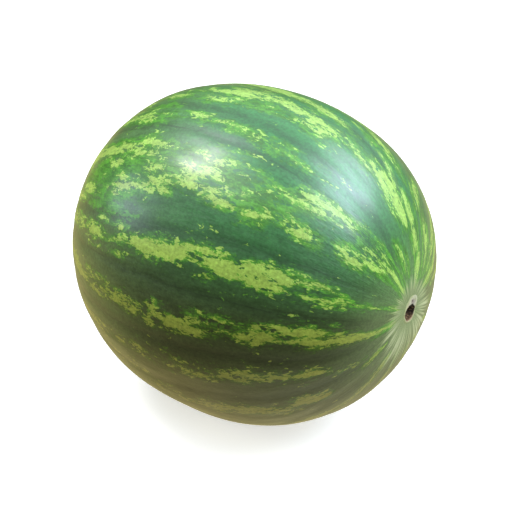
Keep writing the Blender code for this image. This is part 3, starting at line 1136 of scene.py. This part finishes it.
# %% The stem's scar
# Sizes and places are in millimetres, across and up from the middle of the pit. The knob
# is wider than high by KNOB_OVAL, and the cork spreads furthest towards KNOB_TURN.
PIT_Y = 6.8
PIT_Z = 6.7
PIT_FLOOR_DROP = 0.2
CORK_HEIGHT = 0.35
LIP_HEIGHT = 1.15
LIP_UNEVENNESS = 0.45
KNOB = (4.2, 7.1)
KNOB_RADIUS = 3.9
KNOB_OVAL = 1.35
KNOB_HEIGHT = 1.3
KNOB_EDGE = 0.35
KNOB_DIMPLE = (2.4, 8.4)
KNOB_TURN = math.radians(68)
scar_middle = (core.y + 1.6 * MM, core.z - 4.0 * MM)


def pit_share(y, z):
    """0 at the middle of the pit, 1 on its brink."""
    angle = math.atan2(z, y)
    ragged = 1 + 0.12 * noise.noise(Vector((1.7 * math.cos(angle), 1.7 * math.sin(angle), 4.0)))
    return math.hypot(y / PIT_Y, z / PIT_Z) / ragged


def knob_share(y, z, radius):
    """1 on the knob, out to this radius, and 0 beyond it."""
    far = math.hypot((y - KNOB[0]) / KNOB_OVAL, z - KNOB[1])
    return 1 / (1 + math.exp((far - radius) / KNOB_EDGE))


def stem_relief(y, z):
    """The height of the stem's scar: lip, knob, and a rough grain."""
    brink = pit_share(y, z)
    angle = math.atan2(z, y)
    uneven = noise.noise(Vector((3 * math.cos(angle), 3 * math.sin(angle), 1.0)))
    lip_height = LIP_HEIGHT + LIP_UNEVENNESS * uneven
    lip = 0.75 * lip_height * math.exp(-(((brink - 1.14) / 0.2) ** 2))
    knob = KNOB_HEIGHT * knob_share(y, z, KNOB_RADIUS) - 0.9 * bell(y, z, KNOB_DIMPLE, 0.9)
    floor_drop = -PIT_FLOOR_DROP if brink < 1 else 0.0
    grit = 0.16 * crumble(y, z, 1.3, 2.0)
    return CORK_HEIGHT + lip + knob + floor_drop * (1 - brink) + grit


def stem_reach(angle):
    """How far the cork spreads in a direction: furthest above the pit, past the knob."""
    to_knob = max(0.0, math.cos(angle - KNOB_TURN)) ** 2
    ragged = noise.noise(Vector((2 * math.cos(angle), 2 * math.sin(angle), 7.0)))
    return 8.3 + 1.3 * math.sin(angle) ** 2 + 5.2 * to_knob + 1.0 * ragged


# Where each tone lies, from 0 to 1: the pit's hollow, the dimple in the knob, the knob and
# the pale collar around it, the way out to the rim, and the part below the pit's middle.
stem_tones = {
    "hollow": lambda y, z: 1 - min(1.0, max(0.0, (pit_share(y, z) - 0.72) / 0.42)),
    "dot": lambda y, z: bell(y, z, KNOB_DIMPLE, 1.1),
    "knob": lambda y, z: knob_share(y, z, KNOB_RADIUS - 1.2),
    "collar": lambda y, z: knob_share(y, z, KNOB_RADIUS + 0.4) - knob_share(y, z, KNOB_RADIUS - 1.0),
    "rim": lambda y, z: min(1.0, math.hypot(y, z) / stem_reach(math.atan2(z, y))),
    "below": lambda y, z: min(1.0, max(0.0, (-z - 0.5 * y - 0.3) / 5.0)),
}
stem_scar = lay_skin("stem_scar", 1, scar_middle, stem_reach, stem_relief, stem_tones)

# %% [markdown]
# ## Torn fibres in the pit
#
# The stalk's strands tore as it came away, and a few stiff ends still stand in the pit.
# Geometry Nodes set them around its wall: points along an oval, a thin cone on each, and
# each cone leaned and sized at random from one seed. Copies placed by hand would look
# alike, and a hair system would not export.

# %% Build the fibres' tree
FIBRE_SIZES = {
    "Count": 34,
    "Oval Width": 8.2 * MM,
    "Oval Height": 10.6 * MM,
    "Fibre Length": 2.6 * MM,
    "Fibre Radius": 0.26 * MM,
    "Lean": 0.7,
    "Seed": 4,
}
SCATTER = 0.9 * MM
FULL_TURN = 6.28
fibre_tree = bpy.data.node_groups.new("torn fibres", "GeometryNodeTree")
fibre_tree.is_modifier = True
fibre_tree.interface.new_socket("Geometry", in_out="INPUT", socket_type="NodeSocketGeometry")
for name, value in FIBRE_SIZES.items():
    kind = "NodeSocketInt" if isinstance(value, int) else "NodeSocketFloat"
    fibre_tree.interface.new_socket(name, in_out="INPUT", socket_type=kind)
fibre_tree.interface.new_socket("Fibre", in_out="INPUT", socket_type="NodeSocketMaterial")
fibre_tree.interface.new_socket("Geometry", in_out="OUTPUT", socket_type="NodeSocketGeometry")
size = add(fibre_tree, "NodeGroupInput").node.outputs

ring = add(fibre_tree, "GeometryNodeCurvePrimitiveCircle", {"Resolution": 64, "Radius": 0.5})
oval_feeds = {"X": size["Oval Width"], "Y": size["Oval Height"], "Z": 1.0}
oval_size = add(fibre_tree, "ShaderNodeCombineXYZ", oval_feeds)
oval = add(fibre_tree, "GeometryNodeTransform", {"Geometry": ring, "Scale": oval_size})
spots = add(fibre_tree, "GeometryNodeCurveToPoints", {"Curve": oval, "Count": size["Count"]})
spread_from = (-SCATTER, -SCATTER, 0.0)
spread_to = (SCATTER, SCATTER, 0.0)
spread_feeds = {"Min": spread_from, "Max": spread_to, "Seed": size["Seed"]}
spread = add(fibre_tree, "FunctionNodeRandomValue", spread_feeds, data_type="FLOAT_VECTOR")
spots = add(fibre_tree, "GeometryNodeSetPosition", {"Geometry": spots, "Offset": spread})
cone_feeds = {
    "Vertices": 6,
    "Side Segments": 3,
    "Radius Top": 0.05 * MM,
    "Radius Bottom": size["Fibre Radius"],
    "Depth": size["Fibre Length"],
}
cone = add(fibre_tree, "GeometryNodeMeshCone", cone_feeds)
lean_low = add(fibre_tree, MATH, {0: size["Lean"], 1: -1.0}, operation="MULTIPLY")
lean_from = add(fibre_tree, "ShaderNodeCombineXYZ", {"X": lean_low, "Y": lean_low, "Z": 0.0})
lean_to_feeds = {"X": size["Lean"], "Y": size["Lean"], "Z": FULL_TURN}
lean_to = add(fibre_tree, "ShaderNodeCombineXYZ", lean_to_feeds)
lean_feeds = {"Min": lean_from, "Max": lean_to, "Seed": size["Seed"]}
lean = add(fibre_tree, "FunctionNodeRandomValue", lean_feeds, data_type="FLOAT_VECTOR")
length_feeds = {2: 0.4, 3: 1.0, "Seed": size["Seed"]}
length = add(fibre_tree, "FunctionNodeRandomValue", length_feeds, data_type="FLOAT")
stand_feeds = {"Points": spots, "Instance": cone, "Rotation": lean, "Scale": length}
standing = add(fibre_tree, "GeometryNodeInstanceOnPoints", stand_feeds)
realized = add(fibre_tree, "GeometryNodeRealizeInstances", {0: standing})
painted = add(fibre_tree, "GeometryNodeSetMaterial", {"Geometry": realized, "Material": size["Fibre"]})
add(fibre_tree, "NodeGroupOutput", {"Geometry": painted})
print("torn fibres:", len(fibre_tree.nodes), "nodes")

# %% Stand the fibres in the pit
FIBRE_LIFT = 0.2 * MM
cork = bpy.data.materials.new("dried_cork")
cork.use_nodes = True
straw = bpy.data.materials.new("dry_plant_fibre")
straw.use_nodes = True
fibres = grow("torn_fibres", fibre_tree, FIBRE_SIZES, "Fibre", straw)
for vert in fibres.data.vertices:
    y = scar_middle[0] + vert.co.x
    z = scar_middle[1] + vert.co.y
    x = rind_x(1, y, z) + vert.co.z + FIBRE_LIFT
    vert.co = (min(x, high[0] - BOX_GAP), y, z)
fibres.data.update()
print("torn fibres:", len(fibres.data.polygons), "faces")

# %% [markdown]
# ## The cork and the fibres
#
# Wound cork is dull, dry and grey, with a fine crackle, so it has no shine to speak of
# and a rough relief. The pit's hollow is coloured near black, lighter and browner towards
# its lower brink. A picture of a real scar could be wrapped on, but it would fit this
# scar's pit and knob only by luck. Here each tone is tied to the same shape.

# %% The cork's colours
CORK_GREY = linear("#B2B08E")
CORK_PINK = linear("#BFB59A")
CORK_LILAC = linear("#A0988E")
CORK_PALE = linear("#C4C3AC")
BRINK_BROWN = linear("#94765A")
CORK_EDGE = linear("#A9B283")
PIT_BLACK = linear("#1D1308")
PIT_BROWN = linear("#7A5E3E")
DOT_BROWN = linear("#4A3A34")
FIBRE_DARK = linear("#3A2816")
FIBRE_PALE = linear("#8A6A50")
print("cork, as linear red, green and blue:", [round(c, 3) for c in CORK_GREY[:3]])

# %% Mix the cork
CRACKLE = 1.4 * MM
tree = cork.node_tree
surface = tree.nodes["Principled BSDF"]
in_fruit = add(tree, "ShaderNodeTexCoord").node.outputs["Object"]
tone = {}
for name in stem_tones:
    tone[name] = add(tree, "ShaderNodeAttribute", attribute_name=name).node.outputs["Fac"]
crackle_feeds = {"Vector": in_fruit, "Scale": 1 / CRACKLE, "Detail": 4.0, "Roughness": 0.65}
crackle = add(tree, NOISE, crackle_feeds)
tint = add(tree, RANGE, {0: crackle, 1: 0.38, 2: 0.62}, interpolation_type="SMOOTHSTEP")
colour = add(tree, MIX, {0: tint, 6: CORK_GREY, 7: CORK_PINK}, data_type="RGBA")
colour = add(tree, MIX, {0: tone["knob"], 6: colour, 7: CORK_LILAC}, data_type="RGBA")
rim_edge = add(tree, MATH, {0: crackle, 1: 0.5, 2: tone["rim"]}, operation="MULTIPLY_ADD")
rim_share = add(tree, RANGE, {0: rim_edge, 1: 0.85, 2: 1.2}, interpolation_type="SMOOTHSTEP")
colour = add(tree, MIX, {0: rim_share, 6: colour, 7: CORK_EDGE}, data_type="RGBA")
colour = add(tree, MIX, {0: tone["collar"], 6: colour, 7: CORK_PALE}, data_type="RGBA")
brink = add(tree, RANGE, {0: tone["hollow"], 1: 0.02, 2: 0.5}, interpolation_type="SMOOTHSTEP")
brink = add(tree, MATH, {0: brink, 1: tone["below"]}, operation="MULTIPLY")
colour = add(tree, MIX, {0: brink, 6: colour, 7: BRINK_BROWN}, data_type="RGBA")
pit_edge = add(tree, MATH, {0: crackle, 1: 0.9, 2: tone["hollow"]}, operation="MULTIPLY_ADD")
pit_dark = add(tree, RANGE, {0: pit_edge, 1: 0.75, 2: 1.05}, interpolation_type="SMOOTHSTEP")
brown_share = add(tree, MATH, {0: tone["below"], 1: tint}, operation="MULTIPLY")
pit_colour = add(tree, MIX, {0: brown_share, 6: PIT_BLACK, 7: PIT_BROWN}, data_type="RGBA")
colour = add(tree, MIX, {0: pit_dark, 6: colour, 7: pit_colour}, data_type="RGBA")
colour = add(tree, MIX, {0: tone["dot"], 6: colour, 7: DOT_BROWN}, data_type="RGBA")
shade = add(tree, RANGE, {0: crackle, 1: 0.3, 2: 0.7, 3: 0.78, 4: 1.15})
colour = add(tree, VECTOR, {0: colour, "Scale": shade}, operation="SCALE")
tree.links.new(colour, surface.inputs["Base Color"])
surface.inputs["Roughness"].default_value = 0.85
surface.inputs["IOR"].default_value = 1.4
bump = add(tree, "ShaderNodeBump", {"Height": crackle, "Distance": 0.3 * MM, "Strength": 0.8})
tree.links.new(bump, surface.inputs["Normal"])
stem_scar.data.materials.append(cork)
print("dried cork:", len(tree.nodes), "nodes")

# %% Mix the fibre
# Dry plant fibre is dull, and unevenly brown, so each strand shows light and dark.
STRAND = 1.2 * MM
tree = straw.node_tree
surface = tree.nodes["Principled BSDF"]
in_fruit = add(tree, "ShaderNodeTexCoord").node.outputs["Object"]
strand = add(tree, NOISE, {"Vector": in_fruit, "Scale": 1 / STRAND, "Detail": 2.0})
tint = add(tree, RANGE, {0: strand, 1: 0.35, 2: 0.65}, interpolation_type="SMOOTHSTEP")
colour = add(tree, MIX, {0: tint, 6: FIBRE_DARK, 7: FIBRE_PALE}, data_type="RGBA")
tree.links.new(colour, surface.inputs["Base Color"])
surface.inputs["Roughness"].default_value = 0.8
print("dry plant fibre:", len(tree.nodes), "nodes")

# %% [markdown]
# ## The scar where the flower was
#
# At the far end the flower left a small round button of cork with a dimple at its middle.
# It could be a flat disc set into the rind, but its edge would show as a line. So it is
# laid by the same function, with a smaller reach and another relief.

# %% The blossom's scar
# Sizes in millimetres.
BUTTON_RADIUS = 3.6
BUTTON_HEIGHT = 0.8
BUTTON_EDGE = 0.35
BUTTON_REACH = 5.6
blossom_middle = (core.y, core.z)


def blossom_relief(y, z):
    """A low button with a dimple, and a rough grain."""
    far = math.hypot(y, z)
    button = BUTTON_HEIGHT / (1 + math.exp((far - BUTTON_RADIUS) / BUTTON_EDGE))
    return 0.2 + button - 0.7 * bell(y, z, (0.0, 0.0), 1.2) + 0.1 * crumble(y, z, 1.1, 9.0)


def blossom_reach(angle):
    """How far the cork spreads."""
    ragged = noise.noise(Vector((2 * math.cos(angle), 2 * math.sin(angle), 3.0)))
    return BUTTON_REACH + 0.5 * ragged


blossom_tones = {
    "hollow": lambda y, z: 0.9 * bell(y, z, (0.0, 0.0), 1.3),
    "dot": lambda y, z: 0.0,
    "knob": lambda y, z: 0.4,
    "collar": lambda y, z: 0.0,
    "rim": lambda y, z: min(1.0, math.hypot(y, z) / 5.4),
    "below": lambda y, z: 1.0,
}
blossom_scar = lay_skin(
    "blossom_scar",
    -1,
    blossom_middle,
    blossom_reach,
    blossom_relief,
    blossom_tones,
    spokes=64,
    rings=20,
)
blossom_scar.data.materials.append(cork)

for piece in (stem_scar, fibres, blossom_scar):
    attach(piece, "root")

# %% [markdown]
# ## A plain pale floor
#
# The fruit lies on a plain white floor, wide enough that its far edge never shows. Light
# that would bounce up from it onto the fruit is left out, as a dark underside keeps the
# fruit's roundness. A little glow keeps the floor white, with only a soft shadow left.

# %% Lay the floor
FLOOR_HALF = 25.0
FLOOR_GAP = 0.2 * MM
FLOOR_GLOW = 0.5

bm = bmesh.new()
bmesh.ops.create_grid(bm, x_segments=1, y_segments=1, size=FLOOR_HALF)
floor_mesh = bpy.data.meshes.new("floor")
bm.to_mesh(floor_mesh)
bm.free()
floor = bpy.data.objects.new("floor", floor_mesh)
floor.location.z = -FLOOR_GAP
bpy.context.scene.collection.objects.link(floor)
paper = bpy.data.materials.new("matt_white_paper")
paper.use_nodes = True
sheet = paper.node_tree.nodes["Principled BSDF"].inputs
sheet["Base Color"].default_value = linear("#F4F3F0")
sheet["Roughness"].default_value = 0.9
sheet["Emission Color"].default_value = linear("#FFFFFF")
sheet["Emission Strength"].default_value = FLOOR_GLOW
floor_mesh.materials.append(paper)
floor.visible_diffuse = False
floor.visible_glossy = False
print("floor:", 2 * FLOOR_HALF, "m across")

# %% [markdown]
# ## Light
#
# A waxy skin shows its lights, so each soft box is placed by where its reflection should
# fall. The key is the small bright highlight on the left shoulder, and the glow is the
# wide haze around it. The shoulder box and the cooler sheen make the large pale patch on
# the right shoulder, and the window is a dim cool one low on the left. The two fills
# light the ends without a reflection. One large light would be simpler, but it would
# give one patch of shine.

# %% Set the lights
# Each box: direction from the fruit, distance, width, height, power in watts, colour.
# Distances and sizes are in metres.
LIGHTS = {
    "key": ((-0.49, -0.24, 0.84), 1.5, 0.22, 0.36, 6.0, "#FFFCFA"),
    "glow": ((-0.37, -0.30, 0.88), 1.7, 1.5, 1.0, 10.0, "#E4EAFF"),
    "shoulder": ((0.57, 0.40, 0.72), 1.6, 1.5, 1.0, 25.0, "#DFEAFF"),
    "sheen": ((0.62, 0.37, 0.69), 1.6, 0.9, 0.6, 8.0, "#C8D8FF"),
    "window": ((-0.82, -0.50, 0.31), 1.6, 0.7, 0.45, 3.6, "#CCDAFF"),
    "fill right": ((0.88, -0.32, 0.36), 2.4, 1.6, 1.2, 27.0, "#FFFDF6"),
    "fill left": ((-0.84, -0.50, 0.16), 2.4, 1.6, 1.2, 31.0, "#FFF9DC"),
}
for name, (direction, distance, wide, tall, watts, tint) in LIGHTS.items():
    lamp = bpy.data.lights.new(name, "AREA")
    lamp.shape = "RECTANGLE"
    lamp.size = wide
    lamp.size_y = tall
    lamp.energy = watts
    lamp.color = linear(tint)[:3]
    holder = bpy.data.objects.new(name, lamp)
    # A fill isn't seen in the wax, and the sheen is seen only there.
    holder.visible_glossy = "fill" not in name
    holder.visible_diffuse = "sheen" not in name
    aim = Vector(direction).normalized()
    holder.location = core + aim * distance
    holder.rotation_euler = aim.to_track_quat("Z", "Y").to_euler()
    bpy.context.scene.collection.objects.link(holder)
print("soft boxes:", len(LIGHTS))

# %% [markdown]
# The room around the fruit is mostly seen in the wax, at the fruit's rims. It is bright
# and cool above, dim at the height of the eye and low in front, and bright again low
# behind, which gives the rims their pale line. One plain colour would light the fruit
# just as well, but its rims would be flat. The zones melt into each other, so no edge
# shows.

# %% Set the room
ROOM_ABOVE = linear("#E8F3F8")
ROOM_LEVEL = linear("#4E5244")
ROOM_LOW_FRONT = linear("#4A4636")
ROOM_LOW_LEFT = linear("#CCBE7E")
ROOM_LOW_RIGHT = linear("#C2CCA8")
FRONT = (0.3, -0.95, 0.0)
BACK = (0.3, 0.95, 0.0)
RIGHT = (1.0, 0.0, 0.0)
ROOM_STRENGTH = 1.16

world = bpy.data.worlds.new("room")
world.use_nodes = True
room = world.node_tree
outward = add(room, "ShaderNodeTexCoord").node.outputs["Generated"]
tilt = add(room, "ShaderNodeSeparateXYZ", {0: outward}).node.outputs["Z"]
frontal = add(room, VECTOR, {0: outward, 1: FRONT}, operation="DOT_PRODUCT").node.outputs["Value"]
in_front = add(room, RANGE, {0: frontal, 1: -0.2, 2: 0.5}, interpolation_type="SMOOTHSTEP")
not_below = add(room, RANGE, {0: tilt, 1: -0.9, 2: -0.6}, interpolation_type="SMOOTHSTEP")
dim = add(room, MATH, {0: in_front, 1: not_below}, operation="MULTIPLY")
to_right = add(room, VECTOR, {0: outward, 1: RIGHT}, operation="DOT_PRODUCT").node.outputs["Value"]
to_right = add(room, RANGE, {0: to_right, 1: -0.5, 2: 0.5})
low_room = add(room, MIX, {0: to_right, 6: ROOM_LOW_LEFT, 7: ROOM_LOW_RIGHT}, data_type="RGBA")
low_room = add(room, MIX, {0: dim, 6: low_room, 7: ROOM_LOW_FRONT}, data_type="RGBA")
level = add(room, RANGE, {0: tilt, 1: -0.3, 2: 0.0}, interpolation_type="SMOOTHSTEP")
side_room = add(room, MIX, {0: level, 6: low_room, 7: ROOM_LEVEL}, data_type="RGBA")
backward = add(room, VECTOR, {0: outward, 1: BACK}, operation="DOT_PRODUCT").node.outputs["Value"]
behind_tilt = add(room, MATH, {0: backward, 1: 0.45, 2: tilt}, operation="MULTIPLY_ADD")
above = add(room, RANGE, {0: behind_tilt, 1: 0.3, 2: 1.0}, interpolation_type="SMOOTHSTEP")
walls = add(room, MIX, {0: above, 6: side_room, 7: ROOM_ABOVE}, data_type="RGBA")
room.links.new(walls, room.nodes["Background"].inputs["Color"])
room.nodes["Background"].inputs["Strength"].default_value = ROOM_STRENGTH
bpy.context.scene.world = world
print("room:", len(room.nodes), "nodes")

# %% [markdown]
# ## The camera
#
# It looks down on the fruit from the front right, from a metre away, so the stem's end
# and its scar show at the right. A long lens keeps the fruit's round shape true.

# %% Set the camera
AZIMUTH = math.radians(36.5)
ELEVATION = math.radians(29.5)
DISTANCE = 1.0
LENS = 92.5
# The picture's middle lies this far off the middle of the core.
AIM_RIGHT = 2.4 * MM
AIM_UP = -2.9 * MM

back = Vector(
    (
        math.sin(AZIMUTH) * math.cos(ELEVATION),
        -math.cos(AZIMUTH) * math.cos(ELEVATION),
        math.sin(ELEVATION),
    )
)
right = Vector((math.cos(AZIMUTH), math.sin(AZIMUTH), 0.0))
up = back.cross(right)
aim = core + right * AIM_RIGHT + up * AIM_UP
camera_data = bpy.data.cameras.new("camera")
camera_data.lens = LENS
camera_data.sensor_width = 36.0
camera = bpy.data.objects.new("camera", camera_data)
camera.location = aim + back * DISTANCE
camera.rotation_euler = back.to_track_quat("Z", "Y").to_euler()
bpy.context.scene.collection.objects.link(camera)
bpy.context.scene.camera = camera
bpy.context.scene.view_settings.view_transform = "Standard"
print("camera at", [round(c, 3) for c in camera.location], "m")

# %% Print the packed box
print("packed box:", cad_box)
